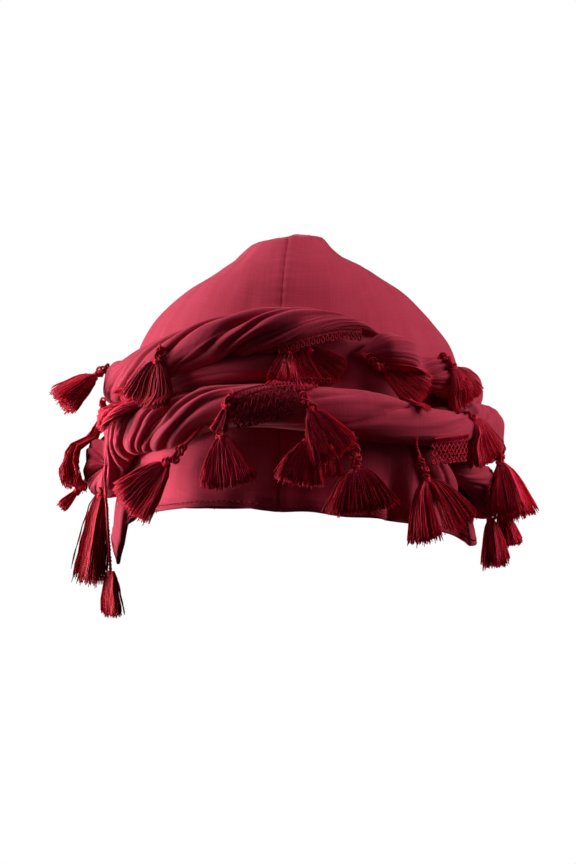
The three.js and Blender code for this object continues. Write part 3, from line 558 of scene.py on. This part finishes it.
def pleatSink(wrap, read, b, column, angle, calm):       # how far the cloth sinks between its folds
    shape = pleatShape
    first, second = shape["uneven"]
    uneven = first * np.sin(2 * np.pi * column + 1) + second * np.sin(4 * np.pi * column + wrap["pleats"])
    fold = (column + uneven) * wrap["pleats"]
    cell = np.floor(fold)
    wander = calm * sum(stray(row, b, fold) for row in shape["wander"])
    ridge = np.abs(np.sin(np.pi * (fold + wander)))
    fineRidge = np.abs(np.sin(np.pi * (shape["fineCount"] * (fold + wander) + shape["fineShift"])))
    come = shape["come"] + calm * stray(shape["comeStray"], b, cell)
    comeFine = np.maximum(0, shape["fineCome"] + calm * stray(shape["fineStray"], b, cell))
    twist, pleat = read(b)[3:5]
    tight = ease(twist, *shape["tightTwist"])
    comeFine = comeFine * (1 - shape["tightPlain"] * tight)      # a tight gather has no small folds
    crisp = wrap["crisp"] + (shape["tightCrisp"] - wrap["crisp"]) * tight
    sink = pleat * come * (1 - ridge ** crisp)
    sink = sink + wrap["fine"] * pleat * comeFine * (1 - fineRidge ** shape["fineCrisp"])
    sink = sink - shape["dent"] * calm * drift(b / shape["dentDegrees"], angle / shape["dentTurn"])
    for fromB, fromA, toB, toA, deep, wide in wrap["creases"]:   # from and to a bearing and an angle
        along = (b - fromB) / (toB - fromB)
        off = offAngle(angle, fromA + (toA - fromA) * along)
        fade = ease(along, *shape["creaseIn"]) * (1 - ease(along, *shape["creaseOut"]))
        sink = sink + deep * fade * np.exp(-np.abs(off / wide) ** shape["creaseCrisp"])
    for atB, atA, wideB, wideA, deep in wrap["hollows"]:         # the turn stands off and shows its inside
        edge = ((b - atB) / wideB) ** shape["hollowCrisp"]
        edge = edge + (offAngle(angle, atA) / wideA) ** shape["hollowCrisp"]
        sink = sink + deep * np.exp(-edge)
    return np.clip(sink, *shape["sinkRange"])


def wrapRoll(wrap):
    shape = pleatShape
    read = smoothTable(wrap["turn"])
    first = wrap["turn"][0][0]
    last = wrap["turn"][-1][0]
    loop = last - first == 360
    fine = np.arange(first, last + shape["fineStep"], shape["fineStep"])
    twist = read(fine)[3]
    phase = np.concatenate([[0], ((twist[1:] + twist[:-1]) * shape["fineStep"] / 2).cumsum()])
    if loop:                              # whole turns, so that the ends meet
        phase *= round(phase[-1] / 360) * 360 / phase[-1]
    stations = [first]
    while stations[-1] < last:
        step = min(shape["station"], shape["stationTwist"] / float(read(stations[-1])[3]))
        stations.append(min(last, stations[-1] + step))
    if loop:
        stations.pop()
    rows = len(stations)
    around = wrap["pleats"] * shape["perPleat"]
    b = np.array(stations)[:, None]
    column = np.arange(around)[None, :] / around
    angle = column * 360 + np.interp(b, fine, phase)
    calm = 1.0
    if loop:
        calm = ease(b, first, first + shape["closeCalm"]) * (1 - ease(b, last - shape["closeCalm"], last))
    points = onRoll(read, b, angle, pleatSink(wrap, read, b, column, angle, calm))
    faces = gridFaces(rows, around, loopRows=loop, loopColumns=True)[:, ::-1].tolist()
    if not loop:
        faces.append(list(range(around)))
        faces.append(list(range((rows - 1) * around, rows * around))[::-1])
    along = np.radians(b) * shape["clothAlong"]
    marks = np.stack(np.broadcast_arrays(along, column * shape["clothRound"], 0.0), -1)
    return points.reshape(-1, 3), faces, marks.reshape(-1, 3), read


wraps = {}                                # the table of each turn, for what is laid on it
for name, wrap in (("upper", upperWrap), ("lower", lowerWrap), ("nape", napeWrap), ("inner", innerWrap)):
    points, faces, marks, wraps[name] = wrapRoll(wrap)
    soft.append((points, faces, marks))
    stands = [] if name == "inner" else [name + "_wrap"]         # the inner fold is part of no solid
    roll = addPiece(name + "Wrap", points, faces, burgundyCloth, "threads", marks, stands)
    print(name, "wrap made,", len(faces), "faces")


# the rounded fold that hangs out below the lower turn: level, bearing, half width, thickness
endFold = dict(
    rows=[(3.4, 52.2, 2, 3), (5, 51.6, 5, 6.5), (8, 50.4, 7.4, 9), (15, 48, 8.4, 10.4), (22, 45, 7.4, 9),
          (27, 43.5, 4.6, 6), (29, 43, 2, 3)],
    sides=64, steps=60, crease=0.22, creaseAt=2.2, creaseSlant=0.03, creaseWide=0.16,
    dent=0.05, dentTurn=2, dentTall=5, clothRound=8)


def foldLobe():
    sides = endFold["sides"]
    level = np.linspace(endFold["rows"][0][0], endFold["rows"][-1][0], endFold["steps"])[:, None]
    bearing, half, thick = smoothTable(endFold["rows"])(level)
    a = (np.arange(sides) * 2 * np.pi / sides)[None, :]
    middle = capRadius(bearing, level) + buckle(bearing, level) + rollShape["rest"] + thick / 2
    crease = endFold["crease"] * bell(a - endFold["creaseAt"] + level * endFold["creaseSlant"],
                                      endFold["creaseWide"])
    dent = endFold["dent"] * drift(a * endFold["dentTurn"], level / endFold["dentTall"])
    size = 1 - crease + dent
    across = compass(bearing + 90, 1.0, 0.0) * (half * np.cos(a) * size)[..., None]
    out = compass(bearing, 1.0, 0.0) * (thick / 2 * squarer(np.sin(a)) * size)[..., None]
    points = compass(bearing, middle, level) + across + out
    faces = gridFaces(endFold["steps"], sides, loopColumns=True).tolist()
    faces.append(list(range(sides))[::-1])
    faces.append(list(range(len(points) * sides - sides, len(points) * sides)))
    marks = np.stack(np.broadcast_arrays(a * endFold["clothRound"], level, 0.0), -1)
    return points.reshape(-1, 3), faces, marks.reshape(-1, 3)


points, faces, marks = foldLobe()
soft.append((points, faces, marks))
lobe = addPiece("endFold", points, faces, burgundyCloth, "threads", marks, ["end_fold"])
print("end fold made,", len(faces), "faces")


# crocheted borders: a chained header, a ladder of posts, a diamond net and picots, all of one thread
borders = dict(radius=115, thick=0.37, step=0.4, lift=1.1, chain=0.35, postSteps=5, leastHalf=4,
               picotSteps=14, picotThick=1.15, picotWide=0.42, picotNeck=0.45, picotLeast=0.85, picotMore=0.3)
# painted shade: the front net and the top edging get the near-black thread, as they sit in shade
netFront = dict(name="netFront", node="net_border_front", roll="lower", finish=darkAndPaintedShadeThread, span=(-9, 4.5),
                start=(14, 72), depth=14, drop=0.0, header=3.0, rows=4, pitch=2.9, picot=1.2)
netRight = dict(name="netRight", node="net_border_right", roll="lower", finish=crochetThread,
                span=(38.5, 51), start=(-38, -6), depth=11, drop=0.75, header=2.6, rows=5, pitch=2.7,
                picot=1.2)
netTop = dict(name="netTop", node="net_border_top", roll="upper", finish=darkAndPaintedShadeThread, span=(360.5, 383),
              start=(-58, -66), depth=1.2, drop=0.9, header=1.2, rows=0, pitch=2.5, picot=3.2)


def spanLength(span):
    return math.radians(span[1] - span[0]) * borders["radius"]


def picots(place, length, pitch, edge, tall):    # a row of drop-shaped loops along an edge
    spots = np.arange(pitch / 2, length - pitch / 2, pitch)[:, None]
    s = np.arange(borders["picotSteps"]) / borders["picotSteps"]
    neck = borders["picotNeck"] + (1 - borders["picotNeck"]) * np.sin(np.pi * s)
    aside = borders["picotWide"] * pitch * np.sin(2 * np.pi * s) * neck
    uneven = borders["picotLeast"] + borders["picotMore"] * np.abs(drift(spots, 0))
    reach = edge + tall * np.sin(np.pi * s) * uneven
    return tubes(place(spots + aside, reach), borders["thick"] * borders["picotThick"], closed=True)


def crochet(net, length):
    read = wraps[net["roll"]]
    fromB, toB = net["span"]
    fromA, toA = net["start"]             # where the border leaves the roll, as an angle round it

    def lay(u, v):                        # u along the border, v down it
        share = u / length
        bearing = fromB + (toB - fromB) * share
        onIt = np.minimum(v, net["depth"] * (1 - net["drop"]))
        half = np.maximum(read(bearing)[1], borders["leastHalf"])
        angle = fromA + (toA - fromA) * share - np.degrees(onIt / half)
        points = onRoll(read, bearing, angle, 0.0, borders["lift"])
        points[..., 2] -= v - onIt        # the rest hangs straight down
        return points

    u = np.arange(0, length, borders["step"])
    beat = 2 * np.pi * u / net["pitch"]
    parts = []
    for v in (0, net["header"]):          # two chained edges
        for turned in (0, np.pi):
            chain = borders["chain"] * np.sin(2 * beat + turned)
            parts.append(tubes(lay(u, v + chain)[None], borders["thick"]))
    posts = np.arange(net["pitch"] / 4, length, net["pitch"] / 2)[:, None]
    v = np.linspace(0, net["header"], borders["postSteps"])
    parts.append(tubes(lay(posts, v), borders["thick"]))
    for row in range(net["rows"]):
        tall = (net["depth"] - net["header"]) / (net["rows"] - 0.5)
        saw = 2 / np.pi * np.arcsin(np.sin(beat + np.pi * (row % 2)))
        parts.append(tubes(lay(u, net["header"] + tall * (row + 0.5 * saw))[None], borders["thick"]))
    parts.append(picots(lay, length, net["pitch"], net["depth"], net["picot"]))
    return gather(parts)


for net in (netFront, netRight, netTop):
    length = spanLength(net["span"])
    points, faces, marks = crochet(net, length)
    lace = addPiece(net["name"], points, faces, net["finish"], "strand", marks, [net["node"]])
    print(net["name"], "made,", len(faces), "faces")
    if net["rows"]:                       # the top one is a mere edging, sewn down along its whole length
        (net["depth"] + net["picot"]) * mm
        net["roll"] + "Wrap"


# beyond the front net its border goes on behind, and only its loops look over the lower turn
crest = dict(span=(5.5, 13.5), angle=76, pitch=2.9, tall=2.6)


def overTop(u, v):
    bearing = crest["span"][0] + np.degrees(u / borders["radius"])
    points = onRoll(wraps["lower"], bearing, crest["angle"], 0.0, borders["lift"])
    points[..., 2] += v
    return points


points, faces, marks = picots(overTop, spanLength(crest["span"]), crest["pitch"], 0.0, crest["tall"])
# painted shade: the loops get the near-black thread of the front net
addPiece("netCrest", points, faces, darkAndPaintedShadeThread, "strand", marks, [])
print("crest loops made,", len(faces), "faces")


# one tree of all the cloth, to feel how far out it reaches
clothPoints, clothFaces = gather(soft)[:2]
clothTree = BVHTree.FromPolygons(clothPoints.tolist(), clothFaces)
farOut = 260.0
print("cloth tree made,", len(clothFaces), "faces")


def feel(bearing, level):                 # the outermost cloth's radius and normal, or 0 and None
    outside = compass(bearing, farOut, level)
    inward = compass(bearing, -1.0, 0.0)
    hit = clothTree.ray_cast(Vector(outside), Vector(inward))
    return (0.0, None) if hit[0] is None else (math.hypot(hit[0].x, hit[0].y), hit[1])


# the fringe, a row for each tassel; the first 24 hang at the front and sides. Swing is to the side and lean
# outward, in degrees, and over is how far the skirt lies on top of its neighbours.
fringe = dict(
    columns=("bearing", "level", "cord", "skirt", "width", "swing", "lean", "over"),
    rows=[
        (-66, 66, 3, 20, 12, -12, 52, 0), (-84, 51.5, 6, 33, 10, 0, 14, 4), (-92, 11, 4, 11, 4.5, 0, 44, 0),
        (-36, 51, 2, 18.5, 10, -78, 4, 4), (-29, 73.5, 2.5, 20, 14, -14, 0, 1),
        (-12, 41, 3, 22, 13.5, 9, 0, 0), (-9, 53, 2.5, 12, 3.6, -20, 0, 0),
        (-17, 38.5, 20, 26, 12, -46, 0, 0), (4.2, 73, 2, 18, 7, 20, 0, 1), (2.4, 72.5, 2, 16, 5, -16, 0, 0),
        (8, 72, 2, 17, 7, 58, 0, 0), (6, 51, 3, 23, 11.5, 30, 0, 1), (7.4, 39.5, 3, 19, 11.5, -10, 0, 0),
        (11.6, 37, 3, 13, 6, 4, 0, 4), (17, 36, 11, 20, 17, 8, 0, 0), (22.5, 71, 9, 21, 9.5, 60, 0, 3),
        (50.5, 70.5, 2.5, 18, 11.5, 28, 0, 0), (55, 45.5, 2.5, 21, 11.5, 26, 0, 0),
        (76, 27, 3, 26, 16, -2, 14, 1), (79, 4, 6, 17, 9, 4, 13, 0), (69, 10.5, 16, 22, 9.5, 3, 4, 0),
        (32.6, 33.5, 15, 26, 18.5, 20, 0, 2),
        (-62.9, 9.5, 4, 40, 13, -4, 6, 0), (-55.2, 20, 51.5, 20, 8, 1, -3.5, 0),
        (120, 56, 3, 22, 9, 4, 0, 0), (144, 55, 3, 23, 9, -4, 0, 0), (168, 56, 3, 23, 9, 4, 0, 0),
        (-168, 57, 3, 24, 9, -4, 0, 0), (-144, 57, 3, 23, 9, 4, 0, 0), (-118, 57, 3, 24, 9, -4, 0, 0),
        (108, 30, 3, 22, 8, -4, 0, 0), (132, 30, 3, 23, 9, 4, 0, 0), (156, 31, 3, 24, 9, -4, 0, 0),
        (-156, 28, 3, 24, 9, 4, 0, 0), (-131, 23, 3, 23, 9, -4, 0, 0)],
    plain=(4, 9, 10, 11, 20, 21, 23, 24),            # loose threads with no knot to be seen
    broad={2: 0.4, 4: 0.3, 9: 0.45, 10: 0.4, 11: 0.35, 23: 0.4, 24: 0.45},    # the width at the neck
    parted={12: 0.1, 22: 0.2},                       # how far a skirt parts in two
    # painted light and shade: the thread tone of each listed tassel is scaled down where it hangs in shade
    # and up where it catches the light
    paintedLightAndShade={1: 0.25, 2: 0.6, 5: 0.05, 6: 1.2, 11: 0.3, 12: 1.4, 13: 1.3, 15: 0.5, 18: 1.3, 19: 1.6, 20: 1.5,
           23: 0, 24: 0.4},
    seed=100, fall=0.35)                             # fall: how steeply threads may drop back to the cloth
cordShape = dict(
    points=9, steps=30, stand=2, clear=1.4, clearOver=0.6, plies=3, plyRadius=0.5, plyAway=0.5, twist=1.5,
    head=5.13, knotPitch=2.7, knotSize=2.3, knotUneven=(0.85, 1.15), knotAside=1.0, knotThread=0.62,
    knotFrom=0.8, knotLeast=1.2, knotRun=11, knotSteps=30, knotDeep=1.4, tone=0.25,
    neckSteps=40, neckPerTurn=10, neckRise=0.088, neckAbove=0.6, neckRadius=1.7, neckThread=0.34)
skirtShape = dict(
    strands=180, perWidth=21, behind=0.35, shownTo=100, strandRadius=0.31, strandSides=3, steps=8,
    flat=0.5, sideFlat=1.05, sideFrom=(45, 75), locks=5, lockSlant=1.7, layers=3, clump=0.3,
    uneven=0.035, unevenMost=2, lockUneven=0.05, hemRate=9, shortAside=0.09,
    broad=0.1, wide=0.95, wideCurve=0.62, middle=0.4, deepNeck=0.2, deepCurve=0.6,
    crimp=0.22, crimpOut=0.7, waveRun=1.9, waveStray=9, waveRate=6, waveOwn=1.6, curl=0.035, droop=0.16,
    clear=0.45, overTo=0.3, clearDeep=0.8, tip=0.35, tipFrom=0.85, ownRadius=(0.8, 1.15),
    toneLeast=0.2, toneOwn=0.3, toneLock=0.4, toneRate=5, layerRate=1.7)


def dim(thread):                          # knots and cords are darker than skirts
    thread[2][:, 0] *= cordShape["tone"]
    return thread


def knotLoop(centre, axes, size):         # a pulled-tight overhand knot
    t = np.arange(cordShape["knotSteps"]) * 2 * np.pi / cordShape["knotSteps"]
    shape = np.stack([np.sin(t) + 2 * np.sin(2 * t), np.cos(t) - 2 * np.cos(2 * t),
                      -cordShape["knotDeep"] * np.sin(3 * t)], -1)
    return dim(tubes((centre + (shape * size / 3) @ axes)[None], cordShape["knotThread"], closed=True))


def rest(points, clear):                  # pushes rows of points out until they clear the cloth
    for path, gap in zip(points, clear):
        held = 0.0
        for k, point in enumerate(path):
            radius = math.hypot(point[0], point[1])
            bearing = math.degrees(math.atan2(point[0], -point[1]))
            cloth = feel(bearing, point[2])[0]
            step = np.linalg.norm(path[k] - path[k - 1]) if k else 0.0
            wanted = max(radius, cloth + gap[k] if cloth else 0.0, held - fringe["fall"] * step)
            path[k] = compass(bearing, wanted, point[2])
            held = wanted
    return points


def knottedCord(line, run, axes, plain, rng):        # plies, a chain of small knots, thread round the neck
    shape = cordShape
    across, hang, proud = axes
    fine = np.linspace(0, 1, shape["steps"])
    at = np.arange(shape["points"])
    spine = np.stack([np.interp(fine * at[-1], at, line[:, k]) for k in range(3)], -1)
    parts = []
    for ply in range(shape["plies"]):
        a = fine[:, None] * run * shape["twist"] + ply * 2 * np.pi / shape["plies"]
        coil = spine + shape["plyAway"] * (across * np.cos(a) + proud * np.sin(a))
        parts.append(dim(tubes(coil[None], shape["plyRadius"])))
    top = max(shape["knotLeast"], run - shape["knotRun"])
    spots = [] if plain else np.arange(run - shape["knotFrom"], top, -shape["knotPitch"])
    for k, spot in enumerate(spots):
        aside = rng.uniform(-shape["knotAside"], shape["knotAside"])
        centre = spine[int(spot / run * (shape["steps"] - 1))] + across * aside
        size = shape["knotSize"] * rng.uniform(*shape["knotUneven"])
        parts.append(knotLoop(centre, np.roll(axes, k, 0), size))
    wind = np.arange(shape["neckSteps"])[:, None] * 2 * np.pi / shape["neckPerTurn"]
    coil = line[-1] + hang * (wind * shape["neckRise"] - shape["neckAbove"])
    coil = coil + shape["neckRadius"] * (across * np.cos(wind) + proud * np.sin(wind))
    parts.append(tubes(coil[None], shape["neckThread"]))
    return parts


def skirtThreads(index, tassel, neck, axes, rng):
    shape = skirtShape
    across, hang, proud = axes
    width = tassel["width"]
    turned = abs(tassel["bearing"])
    shown = turned < shape["shownTo"]     # those behind are flat and have fewer strands
    aside = float(ease(turned, *shape["sideFrom"])) * shown
    flat = shape["flat"] + (shape["sideFlat"] - shape["flat"]) * aside
    count = int((shape["strands"] + shape["perWidth"] * width) * (1 if shown else shape["behind"]))
    steps = shape["steps"]
    t = np.linspace(0, 1, steps)[None, :]
    own = rng.uniform(-1, 1, (count, 1))
    own = own + (np.sign(own) - own) * fringe["parted"].get(index, 0)
    ownDeep = rng.uniform(0, 1, (count, 1))
    slant = ownDeep * shape["lockSlant"]
    lock = (np.round(own * shape["locks"] + slant) - slant) / shape["locks"]
    layer = np.round(ownDeep * shape["layers"])
    side = own + (lock - own) * shape["clump"] * t   # strands gather into locks towards the hem
    deep = ownDeep + (layer / shape["layers"] - ownDeep) * shape["clump"] * t
    most = shape["unevenMost"]
    uneven = shape["uneven"] * rng.normal(size=(count, 1)).clip(-most, most)
    uneven = uneven + shape["lockUneven"] * drift(lock * shape["hemRate"] + index, ownDeep * 2)
    length = tassel["skirt"] * (1 + uneven - shape["shortAside"] * np.abs(own) ** 3)
    broad = fringe["broad"].get(index, shape["broad"])
    wide = width * shape["wide"] * side * (broad + (1 - broad) * t ** shape["wideCurve"])
    swell = t ** shape["deepCurve"]
    thick = flat * width * (deep - shape["middle"]) * (shape["deepNeck"] + (1 - shape["deepNeck"]) * swell)
    phase = shape["waveStray"] * drift(lock * shape["waveRate"] + index, layer)
    phase = phase + rng.uniform(0, shape["waveOwn"], (count, 1))
    wave = shape["crimp"] * np.sin(t * length / shape["waveRun"] + phase)     # a lock waves together
    curl = rng.normal(size=(count, 1)) * shape["curl"] * length * t ** 2
    drop = shape["droop"] * (1 + hang[2]) * length * t ** 2
    path = neck + hang * (length * t)[..., None] + across * (wide + wave + curl)[..., None]
    path = path + proud * (thick + wave * shape["crimpOut"])[..., None]
    path[..., 2] -= drop
    gap = shape["clear"] + tassel["over"] * ease(t, 0, shape["overTo"])
    gap = gap + deep * flat * width * shape["clearDeep"] * swell
    path = rest(path, gap)
    taper = shape["strandRadius"] * (1 - shape["tip"] * ease(t, shape["tipFrom"], 1))
    taper = taper * rng.uniform(*shape["ownRadius"], (count, 1))
    points, faces, marks = tubes(path, taper, shape["strandSides"])
    lockTone = 0.5 + 0.5 * drift(lock * shape["toneRate"] + 3 * index, layer * shape["layerRate"])
    tone = shape["toneLeast"] + marks[:, 0] * shape["toneOwn"]
    tone = tone + np.repeat(lockTone, steps * shape["strandSides"]) * shape["toneLock"]
    # painted light and shade: the whole tone is scaled by the tassel's listed factor
    marks[:, 0] = tone * fringe["paintedLightAndShade"].get(index, 1)
    return points, faces, marks


def hangTassel(index, tassel):
    bearing = tassel["bearing"]
    rng = np.random.default_rng(fringe["seed"] + index)
    radius, normal = feel(bearing, tassel["level"])
    seat = compass(bearing, radius, tassel["level"])
    out = compass(bearing, 1.0, 0.0)
    aside = compass(bearing + 90, 1.0, 0.0)
    swing = math.radians(tassel["swing"])
    lean = math.radians(tassel["lean"])
    hang = np.array([0, 0, -math.cos(swing) * math.cos(lean)])
    hang = hang + aside * math.sin(swing) * math.cos(lean) + out * math.sin(lean)
    across = unit(np.cross(hang, out))
    axes = np.stack([across, hang, np.cross(across, hang)])
    plain = index in fringe["plain"]
    run = tassel["cord"] + (0 if plain else cordShape["head"])
    at = np.linspace(0, run, cordShape["points"])[:, None]
    stand = cordShape["stand"]            # the cord leaves the cloth squarely, then hangs
    line = seat + np.array(normal) * np.minimum(at, stand) + hang * np.maximum(at - stand, 0)
    clear = cordShape["clear"] + tassel["over"] * cordShape["clearOver"]
    line = rest(line[None], np.full((1, len(line)), clear))[0]
    parts = knottedCord(line, run, axes, plain, rng)
    parts.append(skirtThreads(index, tassel, line[-1], axes, rng))
    return gather(parts)


total = 0
for index, row in enumerate(fringe["rows"], 1):
    points, faces, marks = hangTassel(index, dict(zip(fringe["columns"], row)))
    addPiece("tassel%02dThreads" % index, points, faces, silkyThread, "strand", marks,
             ["tassel_%02d" % index])
    total += len(faces)
print("fringe hung,", total, "faces")


# soft studio light from both sides and above, a faint one in front and a narrow one on the gathers, on plain
# white. The lights are in metres: place, aim, size, power, spread.
studio = dict(
    floor=-150, floorHalf=6, sky=0.05, ground=0.02, skyBlend=(-0.3, 0.7),
    lights=dict(
        leftLight=((-1.27, 0.06, 0.56), (0, 0, 0.05), 0.7, 26, 180),
        lowLight=((-1.25, 0.3, -0.3), (0, 0, 0.02), 0.5, 15, 180),
        templeLight=((-1.1, -0.3, -0.18), (-0.082, -0.063, 0.026), 0.05, 0.02, 3.5),
        rightLight=((1.27, 0.08, 0.58), (0, 0, 0.05), 0.7, 16.5, 180),
        topLight=((0, -0.1, 1.4), (0, 0, 0.05), 0.7, 7.5, 180),
        frontLight=((-0.2, -1.5, 0.3), (0, 0, 0.05), 0.9, 0.3, 180)))
half = studio["floorHalf"]
corners = [(-half, -half, 0), (half, -half, 0), (half, half, 0), (-half, half, 0)]
floorMesh = bpy.data.meshes.new("floor")
floorMesh.from_pydata(corners, [], [(0, 1, 2, 3)])
floor = bpy.data.objects.new("floor", floorMesh)
floor.location.z = studio["floor"] * mm
bpy.context.scene.collection.objects.link(floor)
paleFloor = newFinish("paleFloor", {"Base Color": (0, 0, 0, 1), "Specular IOR Level": 0,
                                    "Emission Color": (1, 1, 1, 1), "Emission Strength": 1})[0]
floorMesh.materials.append(paleFloor)
floor.visible_diffuse = False
floor.visible_glossy = False
floor.visible_shadow = False

world = bpy.data.worlds.new("studio")
bpy.context.scene.world = world
world.use_nodes = True
sky = Nodes(world.node_tree)
dome = world.node_tree.nodes["Background"]
dome.inputs["Color"].default_value = (1, 1, 1, 1)
height = sky.split(sky.add("ShaderNodeTexCoord", {}, {}, "Generated")).out("Z")
lit = studio["ground"] + sky.spread(height, *studio["skyBlend"]) * (studio["sky"] - studio["ground"])
seen = sky.add("ShaderNodeLightPath", {}, {}, "Is Camera Ray")
sky.join(lit * (1 - seen) + seen, dome.inputs["Strength"])


def addLight(name, place, aim, size, power, spread):
    lamp = bpy.data.lights.new(name, "AREA")
    lamp.size = size
    lamp.spread = math.radians(spread)
    lamp.energy = power
    light = bpy.data.objects.new(name, lamp)
    light.location = place
    light.rotation_mode = "QUATERNION"
    light.rotation_quaternion = (Vector(aim) - Vector(place)).to_track_quat("-Z", "Y")
    bpy.context.scene.collection.objects.link(light)


for name, settings in studio["lights"].items():
    addLight(name, *settings)
bpy.context.scene.view_settings.view_transform = "Standard"
print("studio lit")
